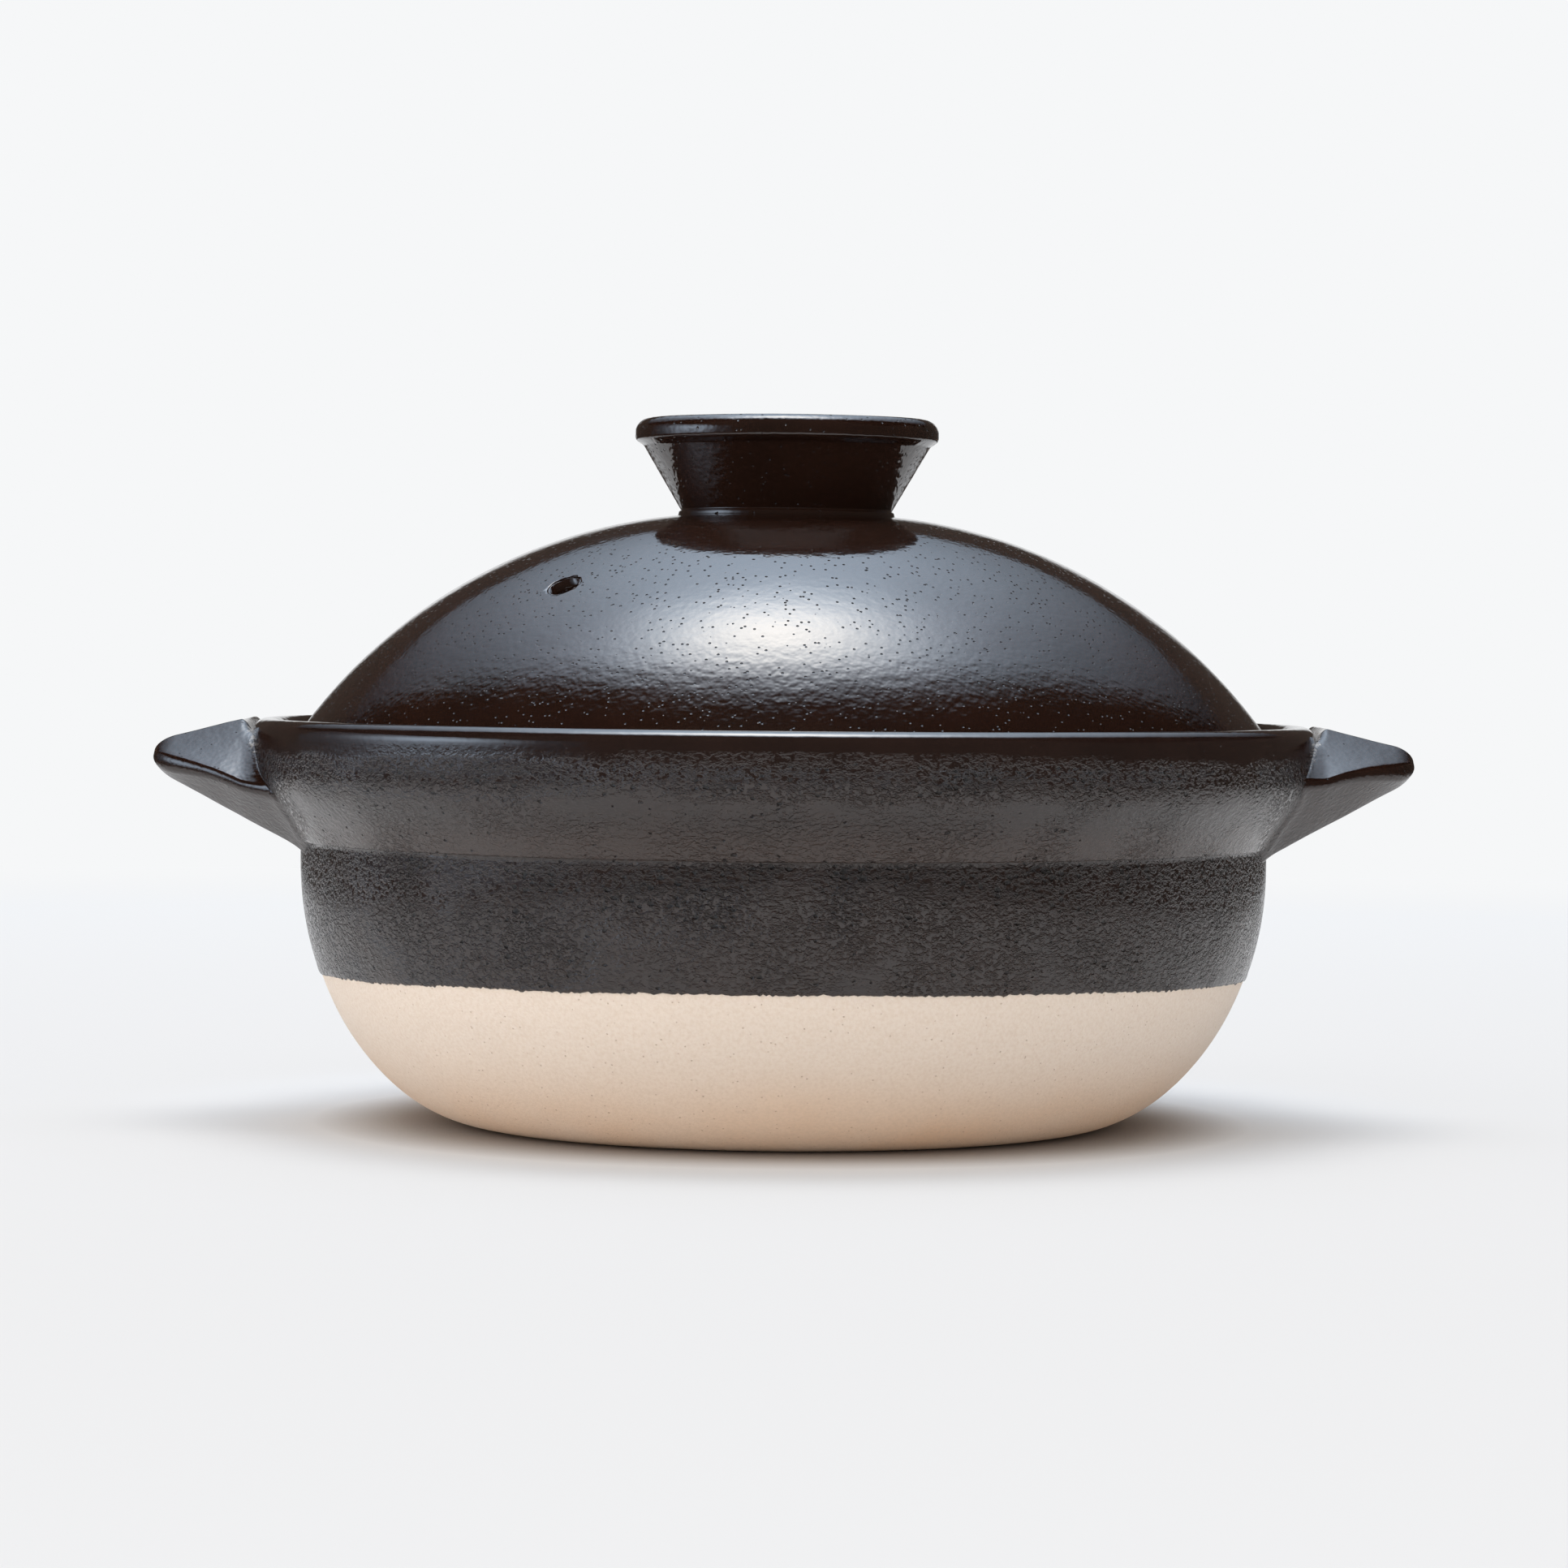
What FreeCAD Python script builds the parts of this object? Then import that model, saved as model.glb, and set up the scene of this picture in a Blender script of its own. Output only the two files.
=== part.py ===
"""A lidded clay cooking pot: a thrown bowl with two ear handles, a domed lid with a ring knob, and the
glaze coats on them. Millimetres, +Z up, the origin on the floor under the middle of the pot."""

import FreeCAD, Part
import math
import os
from FreeCAD import Placement, Rotation, Vector

# Glaze
GLAZE = 0.5              # thickness of every coat
GLAZE_LINE = 35.0        # height of the dipped edge at the pot's axis
DIP_TILT = 1.4           # degrees by which the dipped edge rises towards the front

# Bowl, bare clay
BOWL_RADIUS = 114.5      # outside, where the wall stands upright
WALL = 7.5
FLOOR = 9.0
BELLY_DROP = 36.0        # how far down the belly keeps close to upright
BELLY_REACH = 19.0       # how far out the belly keeps close to level
FOOT_RADIUS = 72.0       # edge of the flat foot
BASE_HOLLOW_RADIUS = 56.0
BASE_HOLLOW = 1.2        # depth of the hollow under the base, which leaves a flat ring to stand on

# Collar and lid seat, bare clay
RIM_HEIGHT = 95.0        # the heights below it are taken downwards from the rim
BAND_HEIGHT = 10.5       # upright band under the rim
FLARE_HEIGHT = 17.1      # flare from the band in to the collar's lower edge
NECK_HEIGHT = 5.4        # upright wall from that edge down to the belly's curve
COLLAR_STEP = 1.2        # how far the collar's lower edge stands out from the bowl
COLLAR_FLARE = 10.4      # how far the rim stands out from that edge
FLARE_LEAN = 0.45        # share of the flare that keeps its slant before it bends
BAND_LEAN = 0.35         # share of the flare's height over which it comes upright
SEAT_DEPTH = 9.0         # seat below the rim
SEAT_WIDTH = 11.4        # seat from the bowl's inside to the collar's inside
SEAT_ROUND = 1.6         # rounding of the seat's inner edge and of its outer corner
COLLAR_DRAFT = 1.6       # how far the collar's inside opens from the seat to the rim
BARE_EDGE = 2.6          # the coats end this far from the seat and the lid's edge, which stay bare

# Lid
LID_GAP = 1.5            # between the glazed lid and the glazed collar, all round
SEAT_GAP = 0.3           # between the lid's bare edge and the seat
LID_WALL = 6.5
LIP_HEIGHT = 4.0         # upright lip inside the collar
LIP_ROUND = 1.6
DOME_RISE = 49.5         # top of the dome above the rim
CROWN_RADIUS = 14.0      # flat middle of the dome, under the knob
VENT_RADIUS = 4.0
VENT_FROM_AXIS = 78.0
VENT_AZIMUTH = 230.0     # degrees from +X, counterclockwise seen from above
VENT_BARE = 0.6          # ring of bare clay round the vent

# Knob
KNOB_HEIGHT = 23.0       # above the top of the dome
KNOB_RADIUS = 36.2
KNOB_FOOT_RADIUS = 25.0
KNOB_LIP = 6.0           # height of the lip above the flare
KNOB_WALL = 7.0
KNOB_ROUND = 2.6
KNOB_RECESS_RADIUS = 18.0   # at the bottom of the knob's hollow
KNOB_SLIP = 0.9          # bead of slip round the knob's foot

# Ear handles: heights are measured down from the rim
EAR_REACH = 23.0         # from the rim to the nose
EAR_RISE = 0.7           # top above the rim, where the ear passes it
EAR_LAP = 1.5            # how far the ear's top laps over the rim's rounding
EAR_CREASE = 15.0        # widest line where the ear passes the rim
EAR_TUCK = 1.2           # how far the ear's underside reaches below the collar's lower edge
EAR_TOP_WIDTH = 42.0
EAR_WIDTH = 68.0
EAR_UNDER_WIDTH = 42.0
NOSE_TOP = 5.2           # top, widest line and underside at the nose
NOSE_CREASE = 10.6
NOSE_UNDER = 13.0
NOSE_WIDTH = 43.0
EAR_ROUND = 3.4          # rounding of the ear's edges

UP = Vector(0, 0, 1)
ORIGIN = Vector(0, 0, 0)

# Sizes that follow from those above
BAND_FOOT = RIM_HEIGHT - BAND_HEIGHT
COLLAR_FOOT = BAND_FOOT - FLARE_HEIGHT
BELLY_HEIGHT = COLLAR_FOOT - NECK_HEIGHT
BOWL_INSIDE = BOWL_RADIUS - WALL
SEAT_HEIGHT = RIM_HEIGHT - SEAT_DEPTH
SEAT_RADIUS = BOWL_INSIDE + SEAT_WIDTH
COLLAR_RADIUS = BOWL_RADIUS + COLLAR_STEP
RIM_RADIUS = COLLAR_RADIUS + COLLAR_FLARE
RIM_INSIDE = SEAT_RADIUS + COLLAR_DRAFT
LIP_FOOT = SEAT_HEIGHT + SEAT_GAP
LID_RADIUS = SEAT_RADIUS - LID_GAP - 2 * GLAZE
DOME_TOP = RIM_HEIGHT + DOME_RISE
DOME_SPRING = LIP_FOOT + LIP_HEIGHT
DOME_HEIGHT = DOME_TOP - DOME_SPRING
DOME_RADIUS = ((LID_RADIUS - CROWN_RADIUS) ** 2 + DOME_HEIGHT ** 2) / (2 * DOME_HEIGHT)
KNOB_TOP = DOME_TOP + KNOB_HEIGHT
EAR_SLOPE = (RIM_HEIGHT - NOSE_UNDER - COLLAR_FOOT + EAR_TUCK) / (COLLAR_FLARE + EAR_REACH)
EAR_UNDER = NOSE_UNDER + EAR_SLOPE * EAR_REACH

# The ear's edges at the nose run parallel to those at the rim, so that its facets are flat
UPPER_TAPER = (EAR_WIDTH - EAR_TOP_WIDTH) / (EAR_CREASE + EAR_RISE)
LOWER_TAPER = (EAR_WIDTH - EAR_UNDER_WIDTH) / (EAR_UNDER - EAR_CREASE)
NOSE_TOP_WIDTH = NOSE_WIDTH - UPPER_TAPER * (NOSE_CREASE - NOSE_TOP)
NOSE_UNDER_WIDTH = NOSE_WIDTH - LOWER_TAPER * (NOSE_UNDER - NOSE_CREASE)


def at(radius, height):
    """A point of a profile, in the half plane that is turned round the axis."""
    return Vector(radius, 0, height)


def line(start, end):
    return Part.LineSegment(start, end).toShape()


def arc(start, via, end):
    return Part.Arc(start, via, end).toShape()


def curve(*poles):
    bezier = Part.BezierCurve()
    bezier.setPoles(list(poles))
    return bezier.toShape()


def rounded(corners):
    """Edges through (point, radius) corners, each corner rounded by its radius; the ends stay sharp."""
    edges = []
    start = corners[0][0]
    for (before, _), (corner, radius), (after, _) in zip(corners, corners[1:], corners[2:]):
        into = (before - corner).normalize()
        out = (after - corner).normalize()
        half_turn = into.getAngle(out) / 2
        bisector = (into + out).normalize()
        leave = corner + into * (radius / math.tan(half_turn))
        rejoin = corner + out * (radius / math.tan(half_turn))
        middle = corner + bisector * (radius / math.sin(half_turn) - radius)
        edges.append(line(start, leave))
        if radius:
            edges.append(arc(leave, middle, rejoin))
        start = rejoin
    return edges + [line(start, corners[-1][0])]


def turned(edges):
    """The solid that a closed profile makes when it is turned round the axis."""
    return Part.Face(Part.Wire(edges)).revolve(ORIGIN, UP, 360)


def coat(clay, glazed):
    """The glaze between a stretch of the clay's profile and the same stretch with its coat on."""
    ends = [
        line(clay[0].firstVertex().Point, glazed[0].firstVertex().Point),
        line(clay[-1].lastVertex().Point, glazed[-1].lastVertex().Point),
    ]
    return turned(Part.sortEdges(clay + glazed + ends)[0])


def bowl_outside(glaze=0):
    """From the edge of the foot up the belly to the collar's lower edge."""
    wall = BOWL_RADIUS + glaze
    return [
        curve(
            at(FOOT_RADIUS, -glaze),
            at(FOOT_RADIUS + BELLY_REACH, -glaze),
            at(wall, BELLY_HEIGHT - BELLY_DROP),
            at(wall, BELLY_HEIGHT),
        ),
        line(at(wall, BELLY_HEIGHT), at(wall, COLLAR_FOOT - glaze)),
    ]


def collar_outside(glaze=0):
    """From the bowl out over the collar's lower edge, up the flare and the band, to the top of the rim."""
    foot = COLLAR_FOOT - glaze
    edge = COLLAR_RADIUS + glaze
    band = RIM_RADIUS + glaze
    flare = BAND_FOOT - foot
    half_rim = (RIM_RADIUS - RIM_INSIDE) / 2
    ring = at(RIM_RADIUS - half_rim, RIM_HEIGHT - half_rim)
    slant = (half_rim + glaze) * math.sqrt(0.5)
    return [
        line(at(BOWL_RADIUS + glaze, foot), at(edge, foot)),
        curve(
            at(edge, foot),
            at(edge + FLARE_LEAN * (band - edge), foot + FLARE_LEAN * flare),
            at(band, BAND_FOOT - BAND_LEAN * flare),
            at(band, BAND_FOOT),
        ),
        line(at(band, BAND_FOOT), at(band, ring.z)),
        arc(at(band, ring.z), ring + at(slant, slant), at(ring.x, RIM_HEIGHT + glaze)),
    ]


def rim_inside(glaze=0):
    """From the top of the rim down the collar's inside to where its coat stops."""
    half_rim = (RIM_RADIUS - RIM_INSIDE) / 2
    ring = at(RIM_INSIDE + half_rim, RIM_HEIGHT - half_rim)
    slant = (half_rim + glaze) * math.sqrt(0.5)
    wall = at(RIM_INSIDE - glaze, ring.z)
    return [
        arc(at(ring.x, RIM_HEIGHT + glaze), ring + at(-slant, slant), wall),
        line(wall, at(SEAT_RADIUS - glaze, SEAT_HEIGHT + BARE_EDGE)),
    ]


def bowl_inside(glaze=0):
    """From where the inner coat stops down the inside of the bowl to the middle of its floor."""
    wall = BOWL_INSIDE - glaze
    floor = FLOOR + glaze
    flat = FOOT_RADIUS - WALL
    return [
        line(at(wall, SEAT_HEIGHT - BARE_EDGE), at(wall, BELLY_HEIGHT)),
        curve(
            at(wall, BELLY_HEIGHT),
            at(wall, BELLY_HEIGHT - BELLY_DROP + FLOOR / 2),
            at(flat + BELLY_REACH, floor),
            at(flat, floor),
        ),
        line(at(flat, floor), at(0, floor)),
    ]


def pot_body():
    """The thrown bowl, its collar and the bare seat for the lid, over a shallow hollow under the base."""
    seat = rounded([
        (at(SEAT_RADIUS, SEAT_HEIGHT + BARE_EDGE), 0),
        (at(SEAT_RADIUS, SEAT_HEIGHT), SEAT_ROUND),
        (at(BOWL_INSIDE, SEAT_HEIGHT), SEAT_ROUND),
        (at(BOWL_INSIDE, SEAT_HEIGHT - BARE_EDGE), 0),
    ])
    base = [
        line(at(0, FLOOR), at(0, BASE_HOLLOW)),
        arc(at(0, BASE_HOLLOW), at(BASE_HOLLOW_RADIUS / 2, BASE_HOLLOW * 3 / 4), at(BASE_HOLLOW_RADIUS, 0)),
        line(at(BASE_HOLLOW_RADIUS, 0), at(FOOT_RADIUS, 0)),
    ]
    return turned(bowl_outside() + collar_outside() + rim_inside() + seat + bowl_inside() + base)


def pot_outer_glaze(ears):
    """Dipped upside down, so its edge is a slightly tilted plane; the ears stand on bare clay."""
    clay, glazed = [bowl_outside(g) + collar_outside(g) + rim_inside(g) for g in (0, GLAZE)]
    skin = coat(clay, glazed)
    reach = 2 * RIM_RADIUS
    undipped = Part.makeBox(2 * reach, 2 * reach, reach, Vector(-reach, -reach, -reach))
    undipped.Placement = Placement(Vector(0, 0, GLAZE_LINE), Rotation(Vector(1, 0, 0), -DIP_TILT))
    return skin.cut([undipped] + ears)


def pot_inner_glaze():
    return coat(bowl_inside(), bowl_inside(GLAZE))


def ear_section(along):
    """The ear's outline across its length: 0 at the rim, 1 at the nose, below 0 inside the bowl."""
    def between(at_rim, at_nose):
        return at_rim + (at_nose - at_rim) * along

    x = RIM_RADIUS + EAR_REACH * along
    side = [
        (between(EAR_TOP_WIDTH, NOSE_TOP_WIDTH) / 2, RIM_HEIGHT - between(-EAR_RISE, NOSE_TOP)),
        (between(EAR_WIDTH, NOSE_WIDTH) / 2, RIM_HEIGHT - between(EAR_CREASE, NOSE_CREASE)),
        (between(EAR_UNDER_WIDTH, NOSE_UNDER_WIDTH) / 2, RIM_HEIGHT - between(EAR_UNDER, NOSE_UNDER)),
    ]
    return [Vector(x, y, z) for y, z in side] + [Vector(x, -y, z) for y, z in reversed(side)]


def facet(*corners):
    return Part.Face(Part.makePolygon(list(corners) + [corners[0]]))


def ear():
    """The right ear: flat facets from inside the bowl to the nose, rounded, then cut to the collar's outside."""
    root = ear_section(-EAR_WIDTH / 2 / EAR_REACH)
    nose = ear_section(1)
    facets = [facet(*root), facet(*nose)]
    for i in range(len(root)):
        facets.append(facet(root[i - 1], root[i], nose[i], nose[i - 1]))
    solid = Part.makeSolid(Part.makeShell(facets))
    solid = solid.makeFillet(EAR_ROUND, [edge for edge in solid.Edges if edge.BoundBox.XMax > RIM_RADIUS])
    ridge = (RIM_RADIUS + RIM_INSIDE) / 2
    closing = [
        line(at(ridge, RIM_HEIGHT), at(0, RIM_HEIGHT)),
        line(at(0, RIM_HEIGHT), at(0, 0)),
        line(at(0, 0), at(FOOT_RADIUS, 0)),
    ]
    filled_pot = turned(bowl_outside() + collar_outside() + closing)
    mouth = Part.makeCylinder(RIM_RADIUS - EAR_LAP, RIM_HEIGHT, at(0, BAND_FOOT))
    return solid.cut([filled_pot, mouth])


def dome_point(outwards, radius):
    """A point of the dome's arc, moved outwards by this much, at this distance from the axis."""
    reach = DOME_RADIUS + outwards
    return at(radius, DOME_TOP - DOME_RADIUS + math.sqrt(reach ** 2 - (radius - CROWN_RADIUS) ** 2))


def dome_outside(glaze=0):
    """From the axis over the dome and down the upright lip."""
    crown = at(CROWN_RADIUS, DOME_TOP + glaze)
    edge = LID_RADIUS + glaze
    spring = dome_point(glaze, edge)
    return [
        line(at(0, crown.z), crown),
        arc(crown, dome_point(glaze, (CROWN_RADIUS + edge) / 2), spring),
        line(spring, at(edge, LIP_FOOT + BARE_EDGE)),
    ]


def dome_inside(glaze=0):
    """From where the inner coat stops, up under the dome to the axis."""
    inwards = LID_WALL + glaze
    crown = at(CROWN_RADIUS, DOME_TOP - inwards)
    stop = LIP_FOOT + BARE_EDGE
    drop = DOME_TOP - DOME_RADIUS - stop
    edge = CROWN_RADIUS + math.sqrt((DOME_RADIUS - inwards) ** 2 - drop ** 2)
    return [
        arc(at(edge, stop), dome_point(-inwards, (CROWN_RADIUS + edge) / 2), crown),
        line(crown, at(0, crown.z)),
    ]


def vent(radius):
    """A drill through the lid, square to the dome's surface."""
    foot = dome_point(0, VENT_FROM_AXIS)
    outwards = (foot - at(CROWN_RADIUS, DOME_TOP - DOME_RADIUS)).normalize()
    length = 4 * LID_WALL
    drill = Part.makeCylinder(radius, length, foot - outwards * (length / 2), outwards)
    return drill.rotate(ORIGIN, UP, VENT_AZIMUTH)


def lid_dome():
    """The lid's clay: a dome that ends in an upright lip, bare along its lower edge, with the vent."""
    inside = dome_inside()
    outer_stop = at(LID_RADIUS, LIP_FOOT + BARE_EDGE)
    inner_stop = inside[0].firstVertex().Point
    lip = rounded([
        (outer_stop, 0),
        (at(LID_RADIUS, LIP_FOOT), LIP_ROUND),
        (at(inner_stop.x, LIP_FOOT), LIP_ROUND),
        (inner_stop, 0),
    ])
    axis = line(at(0, DOME_TOP - LID_WALL), at(0, DOME_TOP))
    return turned(dome_outside() + lip + inside + [axis]).cut(vent(VENT_RADIUS))


def lid_outer_glaze(knob):
    return coat(dome_outside(), dome_outside(GLAZE)).cut([knob, vent(VENT_RADIUS + VENT_BARE)])


def lid_inner_glaze():
    return coat(dome_inside(), dome_inside(GLAZE)).cut(vent(VENT_RADIUS + VENT_BARE))


def lid_knob(dome):
    """A flared ring with a rounded lip, hollow on top, with a bead of slip round its foot."""
    below = DOME_TOP - LID_WALL / 2
    foot_height = dome_point(0, KNOB_FOOT_RADIUS).z + GLAZE + KNOB_SLIP
    lip_foot = KNOB_TOP - KNOB_LIP
    profile = rounded([
        (at(KNOB_RECESS_RADIUS, below), 0),
        (at(KNOB_FOOT_RADIUS + KNOB_SLIP, below), 0),
        (at(KNOB_FOOT_RADIUS + KNOB_SLIP, foot_height - KNOB_SLIP / 2), 0),
        (at(KNOB_FOOT_RADIUS, foot_height), 0),
        (at(KNOB_RADIUS, lip_foot), KNOB_ROUND),
        (at(KNOB_RADIUS, KNOB_TOP), KNOB_ROUND),
        (at(KNOB_RADIUS - KNOB_WALL, KNOB_TOP), KNOB_ROUND),
        (at(KNOB_RECESS_RADIUS, DOME_TOP), 0),
        (at(KNOB_RECESS_RADIUS, below), 0),
    ])
    return turned(profile).cut(dome)


def main():
    right = ear()
    left = right.mirror(ORIGIN, Vector(1, 0, 0))
    dome = lid_dome()
    knob = lid_knob(dome)
    nodes = {
        "pot_body": pot_body(),
        "pot_outer_glaze": pot_outer_glaze([left, right]),
        "pot_inner_glaze": pot_inner_glaze(),
        "handle_left": left,
        "handle_right": right,
        "lid_dome": dome,
        "lid_outer_glaze": lid_outer_glaze(knob),
        "lid_inner_glaze": lid_inner_glaze(),
        "lid_knob": knob,
    }
    os.makedirs("parts", exist_ok=True)
    for name, shape in nodes.items():
        shape.exportStep(f"parts/{name}.step")
        print(f"{name}: {len(shape.Solids)} solid(s), {shape.Volume / 1000:.1f} cm3, valid {shape.isValid()}")


main()
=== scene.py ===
"""The looks of a lidded clay cooking pot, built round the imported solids: thrown clay, the glaze coats on
it, two luted ears and a ring knob. Sizes of the pot are in millimetres, and every mesh is in metres."""

import bisect
import math

import bpy
from mathutils import Matrix, Vector, geometry, noise


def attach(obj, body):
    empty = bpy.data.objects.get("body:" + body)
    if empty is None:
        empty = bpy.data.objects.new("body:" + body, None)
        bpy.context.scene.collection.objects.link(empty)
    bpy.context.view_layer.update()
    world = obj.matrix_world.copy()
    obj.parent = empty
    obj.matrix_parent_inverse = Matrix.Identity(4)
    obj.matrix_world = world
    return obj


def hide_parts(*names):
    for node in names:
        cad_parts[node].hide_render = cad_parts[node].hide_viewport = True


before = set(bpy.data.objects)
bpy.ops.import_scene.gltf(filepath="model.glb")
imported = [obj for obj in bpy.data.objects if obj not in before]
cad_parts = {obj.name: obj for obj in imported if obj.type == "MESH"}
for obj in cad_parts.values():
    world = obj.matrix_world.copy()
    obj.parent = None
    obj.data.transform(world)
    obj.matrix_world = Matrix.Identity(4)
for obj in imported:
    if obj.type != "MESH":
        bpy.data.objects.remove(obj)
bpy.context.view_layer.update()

MM = 0.001
WELD = 0.002             # points closer than this become one

# Glaze
GLAZE = 0.5
SUNK = 0.2               # how far a coat's hidden side lies under the clay's skin
GLAZE_LINE = 35.0
DIP_TILT = math.radians(1.4)
DIP_LIP = ((-SUNK, 0), (0.1, 0.02), (0.3, 0.1), (0.42, 0.28), (0.48, 0.6), (GLAZE, 1.0))    # out, up
DIP_LIP_TOP = 1.2        # height over the line from which the coat follows the belly
DIP_RAGGED = 3.0         # height over which the ragged edge fades out
BARE_EDGE = 2.6

# Waves that work by hand and the run of the glaze leave: (height, length)
THROWN_WAVES = ((0.2, 55), (0.08, 17))
DIP_WAVES = ((0.55, 0.8), (0.2, 3), (0.4, 40))
LID_WAVES = ((0.12, 38), (0.05, 13))
SLEEVE_WAVES = ((0.25, 1.3),)
EAR_WAVES = ((0.3, 17), (0.06, 5))
SLIP_WAVES = ((0.8, 3),)
SLIP_CRUMBS = ((0.12, 0.9),)

# Bowl
BOWL_RADIUS = 114.5
WALL = 7.5
WALL_INSIDE = BOWL_RADIUS - WALL
FLOOR = 9.0
BELLY_HEIGHT = 62.0
BELLY_DROP = 36.0
BELLY_REACH = 19.0
FOOT_RADIUS = 72.0
BASE_HOLLOW_RADIUS = 56.0
BASE_HOLLOW = 1.2

# Collar and lid seat
RIM_HEIGHT = 95.0
BAND_FOOT = 84.5
COLLAR_FOOT = 67.4
COLLAR_RADIUS = 115.7
COLLAR_EDGE = ((-0.5, 0), (-0.12, 0.1), (0.1, 0.42))    # the lower edge, softened by glaze: out, up
RIM_RADIUS = 126.1
RIM_INSIDE = 120.0
FLARE_LEAN = 0.45
BAND_LEAN = 0.35
SEAT_HEIGHT = 86.0
SEAT_RADIUS = 118.4
SEAT_ROUND = 1.6

# Lid
LID_RADIUS = 115.9
LID_WALL = 6.5
LIP_FOOT = 86.3
LIP_ROUND = 1.6
DOME_TOP = 144.5
DOME_RADIUS = 122.89
CROWN_RADIUS = 14.0
VENT_RADIUS = 4.0
VENT_BARE = 0.12
VENT_SLEEVE = 0.35       # glaze that ran down into the vent
SLEEVE_RISE = 0.3        # how far that glaze stands above the clay
VENT_FROM_AXIS = 78.0
VENT_AZIMUTH = math.radians(230)

# Knob
KNOB_TOP = 167.5
KNOB_RADIUS = 36.2
KNOB_FOOT_RADIUS = 25.0
KNOB_LIP = 6.4
KNOB_ROLL = 2.0          # how far the rolled lip stands out over the flare
KNOB_ROLL_RISE = 1.4     # height over which it does
KNOB_WALL = 7.0
KNOB_ROUND = 3.2
KNOB_LIP_ROUND = 1.3
KNOB_RECESS_RADIUS = 18.0
KNOB_RECESS_FLOOR = 1.0  # above the dome's top
KNOB_RECESS_ROUND = 0.8
KNOB_NECK = 1.3          # how far the slip carries the flare above the lid
KNOB_SUNK = 1.5
# bead of slip round the knob's foot: how far it stands out below, at its shoulder and on top
BEAD_FOOT = 1.2
BEAD_SHOULDER = 0.7
BEAD_SHOULDER_DROP = 0.4
BEAD_SHOULDER_ROUND = 0.35
BEAD_TOP = 0.2
BEAD_TOP_ROUND = 0.3

# Ears: (half width, height) of the top edge, the crease and the underside, at the rim and at the nose
EAR_AT_RIM = ((16.0, 95.7), (36.0, 80.0), (21.0, 71.8))
EAR_AT_NOSE = ((14.0, 90.2), (24.0, 84.3), (15.0, 83.4))
EAR_CREASE = {-1: (0, 1.3), 1: (3.0, 1.6)}    # how far each ear's crease is raised at the rim, and its arch
EAR_NOSE = 148.8
EAR_ROUND = (1.6, 2.8)   # of the edges, at the rim and at the nose
EAR_TIP = 5.0            # length over which the nose rounds off
EAR_SUNK = 1.5           # how far the ear's root reaches into the collar
SEAM_BEAD = 0.6          # bead of slip along the ear's joint with the collar
SEAM_REACH = 1.4
SEAM_BARE = 82.0         # height from which the bead gives way to bare slip
SEAM_BARE_RISE = 10.0
SLIP_WIDTH = 1.3         # width of the slip that shows along the joint's upper end
ROOT_TOP = 91.5          # height above which the root is drawn down onto the collar
ROOT_REACH = 2.4
ROOT_DRAW = 0.7
# how finely the ear's mesh is divided
EAR_START = 100.0
EAR_STATION = 0.5
EAR_STEPS = 56
EAR_CROWD = 1.5          # the rings crowd towards the root
CORNER_STEPS = 7
FACET_STEPS = 9
NOSE_STEPS = 8
NOSE_FILL = (0.75, 0.5, 0.25, 0)

# Heights at which the glaze and the clay change
PEEL_SETTLES = (100, 118)     # up the lid, the peel in the glaze smooths out
PEEL_ON_KNOB = (146, 149)     # and it comes back on the knob
FLARE_BROWN = (69, 77)        # thin, brown glaze low on the flare
FLARE_END = (66.6, 67)        # it ends at the collar's lower edge
COARSE_SPAN = (30, 96)
COARSE_AT = ((0.05, 0.5), (0.3, 0.65), (0.42, 0.85), (0.54, 1), (0.56, 0.42), (0.74, 0.42), (0.8, 0.75),
             (0.86, 0.75), (0.9, 0.2), (0.94, 0))    # share of that span, how coarse the skin is there
SKIN_CLOSES = (89, 93)        # pits and dull glaze end below the rim
CLAY_TAN = 26                 # below this the clay turns tan

# The photograph's camera: 1932 x 1932, level to within two degrees, a little above the rim; in metres
CAMERA_PLACE = (-0.0003, -1.2, 0.1153)
CAMERA_DOWN = 1.657
CAMERA_ROLL = 0.52
CAMERA_LENS = 115.3
CAMERA_SENSOR = 36

# Studio, in metres
SCRIM_HEIGHT = 1.3
SCRIM_FRONT = (-0.45, 2.2)    # place along y and half width
SCRIM_BACK = (2.5, 2.4)
SCRIM_CUT = (-0.42, 0.02)     # where the cloth's light begins, along y
SCRIM_BOW = 0.75              # how much that edge bows
LAMP_PLACE = (-0.03, 0.13)
LAMP_GLOWS = (((0.36, 0.30), 7.4), ((0.6, 1.0), 2.6), ((1.1, 2.6), 1.6))    # spread along x and y, level
FILL = 1.27
FILL_FROM_LEFT = 0.45
FILL_FROM_ABOVE = 0.3
PANEL_PLACE = (-1.7, -0.4, 0.5)
PANEL_SPREAD = (0.6, 0.4)     # of its glow along y and z
PANEL_LEVEL = 4.0
FLAG_RADIUS = 5.5
FLAG_LEVEL = 0.12
WINDOW_SIDE = 11              # the opening towards the backdrop, in degrees
WINDOW_TOP = 11
WINDOW_SOFT = 1.5
FLOOR_REACH = 1.6
FLOOR_BACK = 9
# The lift paints light into the pot's shadow: round the pot the paper partly glows with its own tone for the
# camera and the glaze, so the shadow reads lighter there.
FLOOR_LIFT = 0.78             # how far the floor round the pot is lifted towards the paper's tone
FLOOR_NEAR = (0.088, 0.18)    # where the lift begins and is full
FLOOR_FAR = (0.22, 1.3)       # where the floor begins to run out into the backdrop, and has done so
# The dark line under the foot is a painted contact shadow: ambient occlusion darkens the paper's colour
# there, as the camera and the glaze see it.
PAINTED_CONTACT_REACH = 0.02          # reach of the dark line under the foot
CARD_PLACE = (0.38, 0.9)      # dark cards beside and before the pot, which only the glaze mirrors
CARD_SOFT = 0.05

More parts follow.
